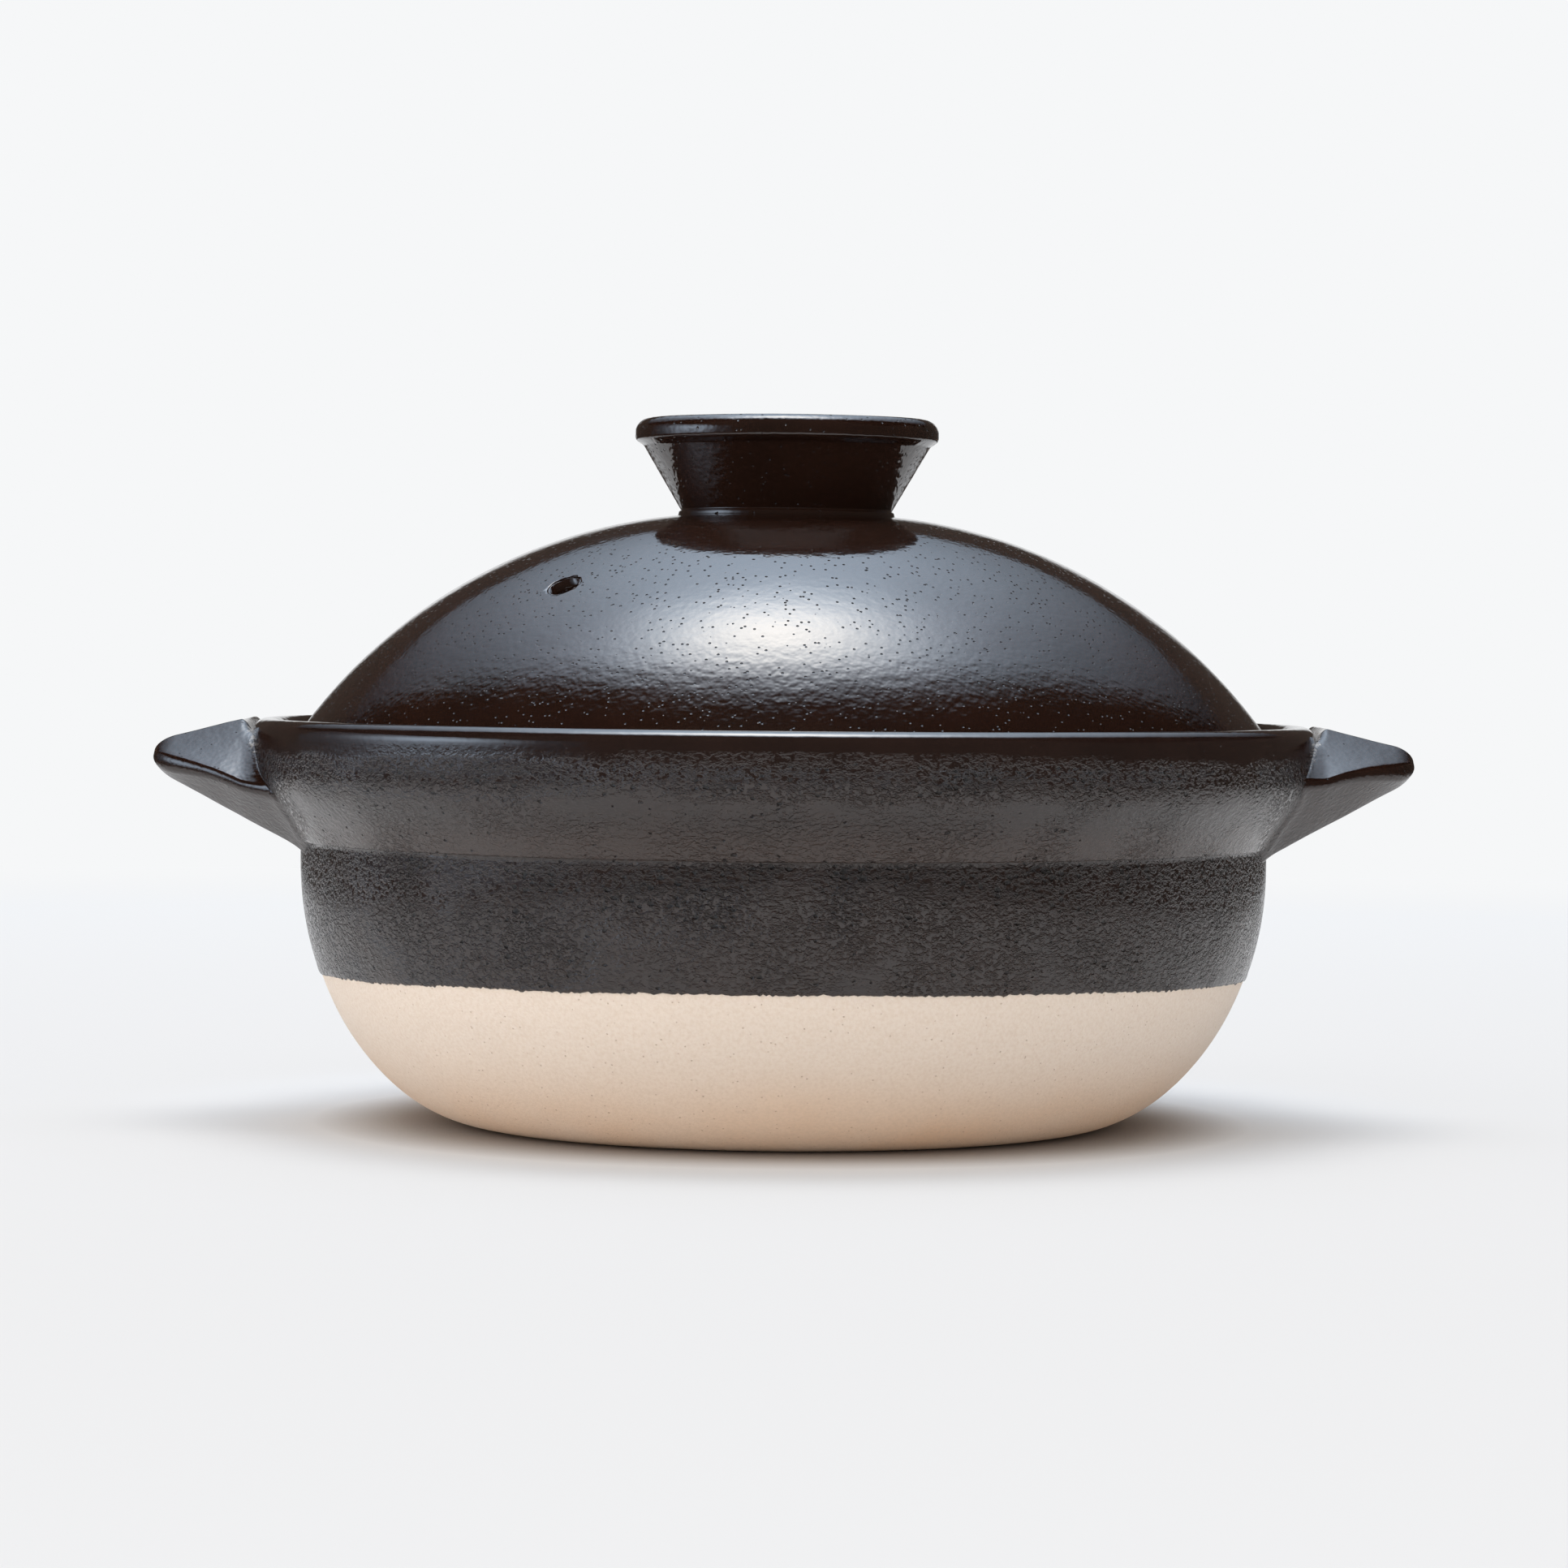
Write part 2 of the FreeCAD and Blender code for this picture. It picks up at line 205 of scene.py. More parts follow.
# Tones of the studio
PAPER = "#f6f7f8"
PAPER_NEAR = "#ebeaea"
PAPER_MATT = "#dfdedd"
# the tone of the painted contact shadow under the foot
PAINTED_CONTACT_SHADE = "#847c76"
FILL_TONE = "#fdfcfc"
LAMP_TONE = "#fffdfa"
CLOTH_TONE = "#d3e6fb"
DARK_TONE = "#b9a89c"

SMOOTH = "SMOOTHSTEP"


def at(radius, height):
    """A point of a profile, in the half plane that is turned round the pot's axis."""
    return Vector((radius, 0, height))


def straight(start, end, steps=1):
    return [start.lerp(end, i / steps) for i in range(1, steps + 1)]


def curve(start, first, second, end, steps):
    return list(geometry.interpolate_bezier(start, first, second, end, steps + 1))[1:]


def arc(centre, radius, start, end, steps):
    """Points after the start angle up to the end angle, in degrees from the outward direction."""
    angles = [math.radians(start + (end - start) * i / steps) for i in range(1, steps + 1)]
    return [centre + at(radius * math.cos(angle), radius * math.sin(angle)) for angle in angles]


def rounded(corners, steps=6):
    """A profile through (point, radius) corners, each corner rounded; the ends stay sharp."""
    points = [corners[0][0]]
    for (before, _), (corner, radius), (after, _) in zip(corners, corners[1:], corners[2:]):
        into = (before - corner).normalized()
        out = (after - corner).normalized()
        half_turn = into.angle(out) / 2
        leave = corner + into * (radius / math.tan(half_turn))
        rejoin = corner + out * (radius / math.tan(half_turn))
        centre = corner + (into + out).normalized() * (radius / math.sin(half_turn))
        for i in range(steps + 1 if radius else 1):
            swing = (leave - centre).lerp(rejoin - centre, i / steps)
            points.append(centre + swing.normalized() * radius if radius else corner)
    return points + [corners[-1][0]]


def belly(out, steps):
    """The bowl's outside from the edge of the foot to the collar's lower edge."""
    wall = BOWL_RADIUS + out
    foot = at(FOOT_RADIUS, -out)
    top = at(wall, BELLY_HEIGHT)
    low = at(FOOT_RADIUS + BELLY_REACH, -out)
    points = [foot] + curve(foot, low, at(wall, BELLY_HEIGHT - BELLY_DROP), top, steps)
    return points + straight(top, at(wall, COLLAR_FOOT - out), 4)


def collar(out, steps):
    """From the bowl out over the collar's lower edge, up the flare and the band, and over the rim."""
    start = at(COLLAR_RADIUS + out, COLLAR_FOOT - out)
    band = at(RIM_RADIUS + out, BAND_FOOT)
    half_rim = (RIM_RADIUS - RIM_INSIDE) / 2
    ring = at(RIM_RADIUS - half_rim, RIM_HEIGHT - half_rim)
    lean = start.lerp(band, FLARE_LEAN)
    upright = band - at(0, BAND_LEAN * (band.z - start.z))
    points = [start + at(*offset) for offset in COLLAR_EDGE]
    points += curve(points[-1], lean, upright, band, steps)
    points += straight(band, at(band.x, ring.z), steps // 2)
    points += arc(ring, half_rim + out, 0, 180, steps)
    return points + straight(points[-1], at(SEAT_RADIUS - out, SEAT_HEIGHT + BARE_EDGE), 3)


def bowl_inside(out, steps):
    """From where the lining stops, down the inside of the bowl to the middle of its floor."""
    wall = at(WALL_INSIDE - out, BELLY_HEIGHT)
    flat = at(FOOT_RADIUS - WALL, FLOOR + out)
    top = at(wall.x, SEAT_HEIGHT - BARE_EDGE)
    points = [top] + straight(top, wall, 4)
    points += curve(wall, wall - at(0, BELLY_DROP - FLOOR / 2), flat + at(BELLY_REACH, 0), flat, steps)
    return points + straight(flat, at(0, FLOOR + out), 8)


def dome(out, edge, steps):
    """From the axis over the dome's arc to an angle, moved outwards by this much."""
    centre = at(CROWN_RADIUS, DOME_TOP - DOME_RADIUS)
    crown = at(CROWN_RADIUS, DOME_TOP + out)
    middle = at(0, crown.z)
    return [middle] + straight(middle, crown, 3) + arc(centre, DOME_RADIUS + out, 90, edge, steps)


def radius_at(profile, height):
    """Where a profile that rises all the way is, at a height."""
    after = min(max(bisect.bisect_left(profile, height, key=lambda point: point.z), 1), len(profile) - 1)
    low, high = profile[after - 1], profile[after]
    return low.x + (high.x - low.x) * (height - low.z) / (high.z - low.z)


# The clay of the belly, and the glazed collar from the floor up to where the rim rounds over
BELLY_SKIN = belly(0, 240)
COLLAR_RISE = [at(BOWL_RADIUS + GLAZE, 0), at(BOWL_RADIUS + GLAZE, COLLAR_FOOT - GLAZE)]
COLLAR_RISE += [*collar(GLAZE, 60)[2:64], at(RIM_RADIUS + GLAZE, RIM_HEIGHT)]


def turned(name, profile, columns):
    """Pulls a profile out of a single point and turns it round the pot's axis."""
    bpy.ops.object.select_all(action="DESELECT")
    bpy.ops.mesh.primitive_plane_add(size=MM)
    piece = bpy.context.object
    piece.name = name
    bpy.ops.object.mode_set(mode="EDIT")
    bpy.ops.mesh.select_all(action="SELECT")
    bpy.ops.mesh.merge(type="CENTER")
    bpy.ops.transform.translate(value=profile[0] * MM)
    for before, after in zip(profile, profile[1:]):
        bpy.ops.mesh.extrude_vertices_move(TRANSFORM_OT_translate={"value": (after - before) * MM})
    bpy.ops.object.mode_set(mode="OBJECT")
    wheel = piece.modifiers.new("wheel", "SCREW")
    wheel.axis = "Z"
    wheel.angle = math.tau
    wheel.steps = wheel.render_steps = columns
    wheel.use_merge_vertices = True
    wheel.merge_threshold = WELD * MM
    bpy.ops.object.modifier_apply(modifier=wheel.name)
    bpy.ops.object.mode_set(mode="EDIT")
    bpy.ops.mesh.select_all(action="SELECT")
    bpy.ops.mesh.remove_doubles(threshold=WELD * MM)
    bpy.ops.mesh.normals_make_consistent(inside=False)
    bpy.ops.object.mode_set(mode="OBJECT")
    bpy.ops.object.shade_smooth()
    return piece


def coat(name, shown, hidden, columns):
    """A coat of glaze: the side that shows, then the side that lies on the clay, back to the start."""
    return turned(name, shown + hidden[::-1] + [shown[0]], columns)


def move_points(piece, moved):
    """Moves every point of a mesh; moved takes and gives millimetres."""
    for vertex in piece.data.vertices:
        vertex.co = moved(vertex.co / MM) * MM
    piece.data.update()


def waves(point, sizes):
    """Smooth noise at a point, added up over heights and lengths."""
    return sum(height * noise.noise(point / length) for height, length in sizes)


def thrown(point):
    """The slight waviness that throwing and trimming by hand leave in a wall."""
    outwards = Vector((point.x, point.y, 0))
    if outwards.length < 1:
        return point
    return point + outwards.normalized() * waves(point, THROWN_WAVES)


def dipped(point):
    """Draws the coat's lower edge to the tilted, slightly ragged line that dipping left."""
    if point.z >= BELLY_HEIGHT or point.xy.length < WALL_INSIDE:
        return point
    tilt = -point.y * math.tan(DIP_TILT)
    above = point.z - GLAZE_LINE
    share = 1 - above / (BELLY_HEIGHT - GLAZE_LINE)
    ground = Vector((point.x, point.y, 0)).normalized() * BOWL_RADIUS
    height = point.z + tilt * share + waves(ground, DIP_WAVES) * max(0, 1 - above / DIP_RAGGED) ** 2
    radius = point.xy.length - radius_at(BELLY_SKIN, point.z) + radius_at(BELLY_SKIN, height)
    flat = point.xy.normalized() * radius
    return Vector((flat.x, flat.y, height))


def pot_clay():
    seat = rounded([
        (at(SEAT_RADIUS, SEAT_HEIGHT + BARE_EDGE), 0),
        (at(SEAT_RADIUS, SEAT_HEIGHT), SEAT_ROUND),
        (at(WALL_INSIDE, SEAT_HEIGHT), SEAT_ROUND),
        (at(WALL_INSIDE, SEAT_HEIGHT - BARE_EDGE), 0),
    ])
    base = straight(at(0, BASE_HOLLOW), at(BASE_HOLLOW_RADIUS, 0), 6)
    profile = belly(0, 46) + collar(0, 10) + seat[1:-1] + bowl_inside(0, 24) + [at(0, BASE_HOLLOW)] + base
    profile += straight(base[-1], at(FOOT_RADIUS, 0), 2)
    piece = turned("pot_clay", profile, 360)
    move_points(piece, thrown)
    return piece


def pot_glaze():
    """The coat on the bowl's outside, over the rim and down the collar's inside."""
    skin = [point for point in belly(GLAZE, 60) if point.z > GLAZE_LINE + DIP_LIP_TOP]
    lip = [at(radius_at(BELLY_SKIN, GLAZE_LINE + up) + out, GLAZE_LINE + up) for out, up in DIP_LIP]
    outside = lip + skin + collar(GLAZE, 16)
    end = at(SEAT_RADIUS + SUNK, SEAT_HEIGHT + BARE_EDGE)
    hidden = [point for point in belly(-SUNK, 8) if point.z > lip[-1].z]
    back = [end] + collar(-SUNK, 4)[::-1][1:] + hidden[::-1] + [lip[0]]
    piece = turned("pot_glaze", outside + back, 1008)
    move_points(piece, dipped)
    move_points(piece, thrown)
    return piece


def pot_lining():
    piece = coat("pot_lining", bowl_inside(GLAZE, 40), bowl_inside(-SUNK, 12), 240)
    move_points(piece, thrown)
    return piece


def lid_waves(point):
    """Faint waves in the glazed dome and the knob."""
    centre = Vector((0, 0, DOME_TOP - DOME_RADIUS))
    return point + (point - centre).normalized() * waves(point, LID_WAVES)


def lid_outside(out, steps):
    """Over the dome to where it meets the upright lip, and down the lip to where the coat stops."""
    edge = math.degrees(math.acos((LID_RADIUS + out - CROWN_RADIUS) / (DOME_RADIUS + out)))
    points = dome(out, edge, steps)
    return points + straight(points[-1], at(LID_RADIUS + out, LIP_FOOT + BARE_EDGE), 3)


def lid_inside(out, steps):
    """Up the underside of the dome, from where the lining stops to the axis."""
    inwards = -LID_WALL - out
    rise = LIP_FOOT + BARE_EDGE - DOME_TOP + DOME_RADIUS
    edge = math.degrees(math.asin(rise / (DOME_RADIUS + inwards)))
    return dome(inwards, edge, steps)[::-1]


def vent_place():
    """The vent's axis, square to the dome's surface, in metres."""
    lean = math.asin((VENT_FROM_AXIS - CROWN_RADIUS) / DOME_RADIUS)
    foot = at(CROWN_RADIUS, DOME_TOP - DOME_RADIUS) + at(math.sin(lean), math.cos(lean)) * DOME_RADIUS
    turn = Matrix.Rotation(VENT_AZIMUTH, 4, "Z")
    return turn @ Matrix.Translation(foot * MM) @ Matrix.Rotation(lean, 4, "Y")


def drilled(piece, radius):
    """Drills the steam vent."""
    bpy.ops.object.select_all(action="DESELECT")
    bpy.ops.mesh.primitive_cylinder_add(vertices=48, radius=radius * MM, depth=4 * LID_WALL * MM)
    drill = bpy.context.object
    drill.matrix_world = vent_place()
    bpy.context.view_layer.update()
    bpy.context.view_layer.objects.active = piece
    cut = piece.modifiers.new("vent", "BOOLEAN")
    cut.operation = "DIFFERENCE"
    cut.solver = "EXACT"
    cut.object = drill
    bpy.ops.object.modifier_apply(modifier=cut.name)
    bpy.data.objects.remove(drill)
    return piece


def lid_clay():
    inside = lid_inside(0, 30)
    lip = rounded([
        (at(LID_RADIUS, LIP_FOOT + BARE_EDGE), 0),
        (at(LID_RADIUS, LIP_FOOT), LIP_ROUND),
        (at(inside[0].x, LIP_FOOT), LIP_ROUND),
        (inside[0], 0),
    ])
    profile = lid_outside(0, 40) + lip[1:-1] + inside
    piece = turned("lid_clay", profile + [profile[0]], 240)
    move_points(piece, lid_waves)
    return drilled(piece, VENT_RADIUS)


def vent_sleeve():
    """The sleeve of glaze inside the vent, with a ragged upper edge."""
    bpy.ops.object.select_all(action="DESELECT")
    bpy.ops.mesh.primitive_cylinder_add(vertices=96, radius=VENT_RADIUS * MM, depth=LID_WALL * MM,
                                        end_fill_type="NOTHING")
    sleeve = bpy.context.object
    for vertex in sleeve.data.vertices:
        rise = SLEEVE_RISE - waves(vertex.co / MM, SLEEVE_WAVES) if vertex.co.z > 0 else 0
        vertex.co.z += (rise - LID_WALL / 2) * MM
    wall = sleeve.modifiers.new("wall", "SOLIDIFY")
    wall.thickness = VENT_SLEEVE * MM
    wall.offset = -1
    bpy.ops.object.modifier_apply(modifier=wall.name)
    sleeve.data.transform(vent_place())
    bpy.ops.object.shade_smooth()


def lid_glaze():
    """The coat on the lid, and the glaze that ran from it into the vent."""
    piece = coat("lid_glaze", lid_outside(GLAZE, 110), lid_outside(-SUNK, 20), 480)
    move_points(piece, lid_waves)
    drilled(piece, VENT_RADIUS + VENT_BARE)
    vent_sleeve()
    piece.select_set(True)
    bpy.context.view_layer.objects.active = piece
    bpy.ops.object.join()
    return piece


def lid_lining():
    piece = coat("lid_lining", lid_inside(GLAZE, 40), lid_inside(-SUNK, 12), 240)
    move_points(piece, lid_waves)
    return drilled(piece, VENT_RADIUS + VENT_BARE)


def knob():
    """The ring knob: a flare under a rounded lip, hollow on top, with a bead of slip round its foot."""
    below = DOME_TOP - KNOB_SUNK
    fall = DOME_RADIUS - math.sqrt(DOME_RADIUS ** 2 - (KNOB_FOOT_RADIUS - CROWN_RADIUS) ** 2)
    foot = DOME_TOP - fall + GLAZE + KNOB_NECK
    lip = KNOB_TOP - KNOB_LIP
    profile = rounded([
        (at(KNOB_RECESS_RADIUS, below), 0),
        (at(KNOB_FOOT_RADIUS + BEAD_FOOT, below), 0),
        (at(KNOB_FOOT_RADIUS + BEAD_SHOULDER, foot - BEAD_SHOULDER_DROP), BEAD_SHOULDER_ROUND),
        (at(KNOB_FOOT_RADIUS + BEAD_TOP, foot), BEAD_TOP_ROUND),
        (at(KNOB_RADIUS - KNOB_ROLL, lip), KNOB_LIP_ROUND),
        (at(KNOB_RADIUS, lip + KNOB_ROLL_RISE), KNOB_LIP_ROUND),
        (at(KNOB_RADIUS, KNOB_TOP), KNOB_ROUND),
        (at(KNOB_RADIUS - KNOB_WALL, KNOB_TOP), KNOB_ROUND),
        (at(KNOB_RECESS_RADIUS, DOME_TOP + KNOB_RECESS_FLOOR), KNOB_RECESS_ROUND),
        (at(KNOB_RECESS_RADIUS, below), 0),
    ])
    piece = turned("knob", profile, 240)
    move_points(piece, lid_waves)
    return piece


def clamped(value):
    return min(1, max(0, value))


def ear_corners(side, along):
    """The ear's six corners, (across, height), at a share of its length from the rim to the nose."""
    half = []
    for (wide, high), (nose_wide, nose_high) in zip(EAR_AT_RIM, EAR_AT_NOSE):
        half.append(Vector((wide + (nose_wide - wide) * along, high + (nose_high - high) * along)))
    raised, arch = EAR_CREASE[side]
    half[1].y += (raised + 4 * arch * max(0, along)) * (1 - along)
    return half + [Vector((-corner.x, corner.y)) for corner in reversed(half)]


def ear_outline(side, x, share=1.0):
    """The ear's outline at a distance from the pot's axis, its edges rounded by a share of their radius."""
    along = (x - RIM_RADIUS) / (EAR_NOSE - RIM_RADIUS)
    radius = EAR_ROUND[0] + (EAR_ROUND[1] - EAR_ROUND[0]) * clamped(along)
    corners = ear_corners(side, along)
    sides = []
    for start, end in zip(corners, corners[1:] + corners[:1]):
        outwards = Vector((start.y - end.y, end.x - start.x)).normalized()
        sides.append((outwards, outwards.dot(start) - radius))
    points = []
    for (before, far), (after, far_after) in zip(sides[-1:] + sides[:-1], sides):
        cross = before.x * after.y - before.y * after.x
        corner = Vector((far * after.y - far_after * before.y, before.x * far_after - after.x * far)) / cross
        for i in range(CORNER_STEPS):
            swing = before.lerp(after, i / (CORNER_STEPS - 1)).normalized()
            points.append(corner + swing * radius * share)
    outline = []
    for i, point in enumerate(points):
        outline.append(point)
        if (i + 1) % CORNER_STEPS == 0:
            following = points[(i + 1) % len(points)]
            outline += [point.lerp(following, k / FACET_STEPS) for k in range(1, FACET_STEPS)]
    return [Vector((x, point.x, point.y)) for point in outline]


def collar_away(point):
    """How far a point lies outside the glazed collar."""
    return point.xy.length - radius_at(COLLAR_RISE, min(point.z, COLLAR_RISE[-1].z))


def ear_lengths(side, straight_end):
    """The ear's outlines from its root, which follows the collar just under its skin, to the nose."""
    count = int((straight_end - EAR_START) / EAR_STATION)
    stations = [ear_outline(side, EAR_START + EAR_STATION * i) for i in range(count)]
    stations.append(ear_outline(side, straight_end))
    strips = []
    for strip in zip(*stations):
        root = next(i for i, point in enumerate(strip) if collar_away(point) > -EAR_SUNK)
        length = len(strip) - 1 - root
        points = []
        for i in range(EAR_STEPS + 1):
            spot = root + length * (i / EAR_STEPS) ** EAR_CROWD
            low = min(int(spot), len(strip) - 2)
            points.append(strip[low].lerp(strip[low + 1], spot - low))
        strips.append(points)
    return [list(ring) for ring in zip(*strips)]


def ear_rings(side):
    """The ear's outlines from its root to the middle of its rounded nose."""
    straight_end = EAR_NOSE - EAR_TIP
    rings = ear_lengths(side, straight_end)
    for i in range(1, NOSE_STEPS + 1):
        turn = math.pi / 2 * i / NOSE_STEPS
        rings.append(ear_outline(side, straight_end + EAR_TIP * math.sin(turn), math.cos(turn)))
    middle = sum(rings[-1], Vector()) / len(rings[-1])
    return rings + [[middle.lerp(point, share) for point in rings[-1]] for share in NOSE_FILL]


def lute_on(piece, side):
    """Beds an ear's root on the collar: a bead of slip below, bare slip above, and the waves of hand work."""
    slip = piece.data.attributes.new("slip", "FLOAT", "POINT").data
    thin = piece.data.attributes.new("thin", "FLOAT", "POINT").data
    normals = [vertex.normal.copy() for vertex in piece.data.vertices]
    for vertex, normal, bare, coarse in zip(piece.data.vertices, normals, slip, thin):
        point = vertex.co / MM
        seed = point + Vector((0, 0, 40 * side))
        away = collar_away(point)
        high = clamped((point.z - SEAM_BARE) / SEAM_BARE_RISE)
        width = SLIP_WIDTH * (0.35 + 0.65 * high) * (1 + waves(seed, SLIP_WAVES))
        bare.value = clamped(1.5 - away / width) * (0.5 + 0.5 * high)
        coarse.value = clamped(0.5 - 2 * normal.z)
        bead = SEAM_BEAD * (1 - high) * math.exp(-max(0, away) / SEAM_REACH)
        close = max(0, 1 - max(0, away) / ROOT_REACH) ** 1.5
        point.z -= max(0, point.z - ROOT_TOP) * close * ROOT_DRAW
        crumbs = waves(seed, SLIP_CRUMBS) * bare.value
        vertex.co = (point + normal * (bead + crumbs + waves(seed, EAR_WAVES))) * MM


def ear(name, side):
    """One ear: facets rounded into each other, luted to the collar."""
    rings = ear_rings(side)
    around = len(rings[0])
    bpy.ops.object.select_all(action="DESELECT")
    bpy.ops.mesh.primitive_grid_add(x_subdivisions=len(rings) - 1, y_subdivisions=around)
    piece = bpy.context.object
    piece.name = name
    for index, vertex in enumerate(piece.data.vertices):
        point = rings[index % len(rings)][index // len(rings) % around]
        vertex.co = Vector((side * point.x, point.y, point.z)) * MM
    bpy.ops.object.mode_set(mode="EDIT")
    bpy.ops.mesh.select_all(action="SELECT")
    bpy.ops.mesh.remove_doubles(threshold=WELD * MM)
    bpy.ops.mesh.select_all(action="DESELECT")
    bpy.ops.mesh.select_non_manifold()
    bpy.ops.mesh.edge_face_add()
    bpy.ops.mesh.select_all(action="SELECT")
    bpy.ops.mesh.normals_make_consistent(inside=False)
    bpy.ops.object.mode_set(mode="OBJECT")
    bpy.ops.object.shade_smooth()
    lute_on(piece, side)
    return piece


# Materials

def linear(hex_colour):
    """A colour written as sRGB hex, as the linear values that a socket takes."""
    channels = [int(hex_colour[i:i + 2], 16) / 255 for i in (1, 3, 5)]
    return [c / 12.92 if c <= 0.04045 else ((c + 0.055) / 1.055) ** 2.4 for c in channels] + [1.0]


def add(tree, kind, inputs=None, **settings):
    """Adds a node with its settings; an input is a value or the socket that feeds it."""
    made = tree.nodes.new("ShaderNode" + kind)
    for name, value in settings.items():
        setattr(made, name, value)
    for socket, value in (inputs or {}).items():
        if isinstance(value, bpy.types.NodeSocket):
            tree.links.new(value, made.inputs[socket])
        else:
            made.inputs[socket].default_value = value
    return made


def new_material(name):
    material = bpy.data.materials.new(name)
    material.use_nodes = True
    material.node_tree.nodes.clear()
    return material, material.node_tree


def grain(millimetres):
    """The texture scale that gives features of this size, on coordinates in metres."""
    return 1000 / millimetres


def iron_glaze(name, luted=False):
    """Black iron glaze, poured on and fired to a mirror: brown where it thins, with pinholes from the
    coarse clay under it and ripples from the run of the glaze. Luted ears show slip along the joint."""
    material, tree = new_material(name)
    place = add(tree, "TexCoord").outputs["Object"]
    pool = add(tree, "TexNoise", {"Vector": place, "Scale": grain(16), "Detail": 3}).outputs[0]
    colour = add(tree, "Mix", {0: pool, 6: linear("#190f0b"), 7: linear("#291811")},
                 data_type="RGBA").outputs[2]
    flat = add(tree, "Mapping", {"Vector": place, "Scale": (0.3, 0.3, 1)}).outputs[0]
    ripple = add(tree, "TexNoise", {"Vector": flat, "Scale": grain(2.6), "Detail": 2}).outputs[0]
    # peel in the glaze, which settles up the lid and comes back on the knob
    peel = add(tree, "TexNoise", {"Vector": place, "Scale": grain(1.7), "Detail": 1}).outputs[0]
    height = add(tree, "SeparateXYZ", {0: place}).outputs[2]
    low, high = PEEL_SETTLES
    settled = add(tree, "MapRange", {0: height, 1: low * MM, 2: high * MM, 3: 1.0, 4: 0.5}).outputs[0]
    low, high = PEEL_ON_KNOB
    lumpy = add(tree, "MapRange", {0: height, 1: low * MM, 2: high * MM, 3: 0.0, 4: 1.2}).outputs[0]
    settled = add(tree, "Math", {0: settled, 1: lumpy}, operation="MAXIMUM").outputs[0]
    spacing, width = (2.6, 0.1) if luted else (1.8, 0.19)
    hole = add(tree, "TexVoronoi", {"Vector": place, "Scale": grain(spacing)}).outputs["Distance"]
    pin = add(tree, "MapRange", {0: hole, 1: 0.03, 2: width, 3: 1.0, 4: 0.0},
              interpolation_type=SMOOTH).outputs[0]
    gloss = add(tree, "MapRange", {0: ripple, 1: 0.3, 2: 0.7, 3: 0.07, 4: 0.1}).outputs[0]
    rough = add(tree, "Mix", {0: pin, 2: gloss, 3: 0.14}).outputs[0]
    bump = add(tree, "Bump", {"Height": ripple, "Distance": 0.06 * MM, "Strength": 1}).outputs[0]
    bump = add(tree, "Bump", {"Height": peel, "Distance": 0.08 * MM, "Strength": settled,
                              "Normal": bump}).outputs[0]
    bump = add(tree, "Bump", {"Height": pin, "Distance": 0.4 * MM, "Strength": 1, "Normal": bump},
               invert=True).outputs[0]
    if luted:
        slip = add(tree, "Attribute", attribute_name="slip").outputs["Fac"]
        thin = add(tree, "Attribute", attribute_name="thin").outputs["Fac"]
        grit = add(tree, "TexNoise", {"Vector": place, "Scale": grain(1.0), "Detail": 4}).outputs[0]
        crust = add(tree, "Math", {0: slip, 1: grit}, operation="MULTIPLY").outputs[0]
        bare = add(tree, "MapRange", {0: crust, 1: 0.34, 2: 0.6}).outputs[0]
        colour = add(tree, "Mix", {0: bare, 6: colour, 7: linear("#98918a")}, data_type="RGBA").outputs[2]
        dull = add(tree, "Math", {0: thin, 1: 0.16, 2: rough}, operation="MULTIPLY_ADD").outputs[0]
        rough = add(tree, "Mix", {0: bare, 2: dull, 3: 0.5}).outputs[0]
        depth = add(tree, "Math", {0: thin, 1: 0.8, 2: slip}, operation="MULTIPLY_ADD").outputs[0]
        bump = add(tree, "Bump", {"Height": grit, "Distance": 0.2 * MM, "Strength": depth,
                                  "Normal": bump}).outputs[0]
    shader = add(tree, "BsdfPrincipled", {"Base Color": colour, "Roughness": rough, "IOR": 1.66,
                                          "Normal": bump})
    add(tree, "OutputMaterial", {"Surface": shader.outputs[0]})
    return material


def coarseness(tree, place, height):
    """How coarse the skin under the glaze is, from the foot of the coat to the rim, in uneven patches."""
    low, high = COARSE_SPAN
    zone = add(tree, "MapRange", {0: height, 1: low * MM, 2: high * MM}).outputs[0]
    ramp = add(tree, "ValToRGB", {0: zone})
    stops = ramp.color_ramp.elements
    for spot, level in COARSE_AT:
        stops.new(spot).color = (level, level, level, 1)
    stops.remove(stops[0])
    stops.remove(stops[-1])
    patch = add(tree, "TexNoise", {"Vector": place, "Scale": grain(18), "Detail": 2}).outputs[0]
    patch = add(tree, "MapRange", {0: patch, 1: 0.35, 2: 0.65, 3: 0.5, 4: 1.2}).outputs[0]
    return add(tree, "Math", {0: ramp.outputs[0], 1: patch}, operation="MULTIPLY").outputs[0]


def torn_pits(tree, place, dragged, coarse):
    """Separate pits of many sizes, with uneven edges, more and larger where the skin is coarse."""
    bent = add(tree, "TexNoise", {"Vector": place, "Scale": grain(0.9), "Detail": 2}).outputs[1]
    bent = add(tree, "VectorMath", {0: bent, 1: (0.9 * MM,) * 3, 2: dragged},
               operation="MULTIPLY_ADD").outputs[0]
    pore = add(tree, "TexVoronoi", {"Vector": bent, "Scale": grain(1.4)}).outputs
    chance = add(tree, "SeparateColor", {0: pore["Color"]}).outputs[0]
    reach = add(tree, "Math", {0: coarse, 1: 0.5, 2: chance}, operation="MULTIPLY_ADD").outputs[0]
    reach = add(tree, "Math", {0: reach, 1: 0.7, 2: -0.6}, operation="MULTIPLY_ADD").outputs[0]
    reach = add(tree, "Math", {0: reach, 1: pore["Distance"]}, operation="SUBTRACT").outputs[0]
    return add(tree, "MapRange", {0: reach, 1: -0.1, 2: 0.12}, interpolation_type=SMOOTH).outputs[0]


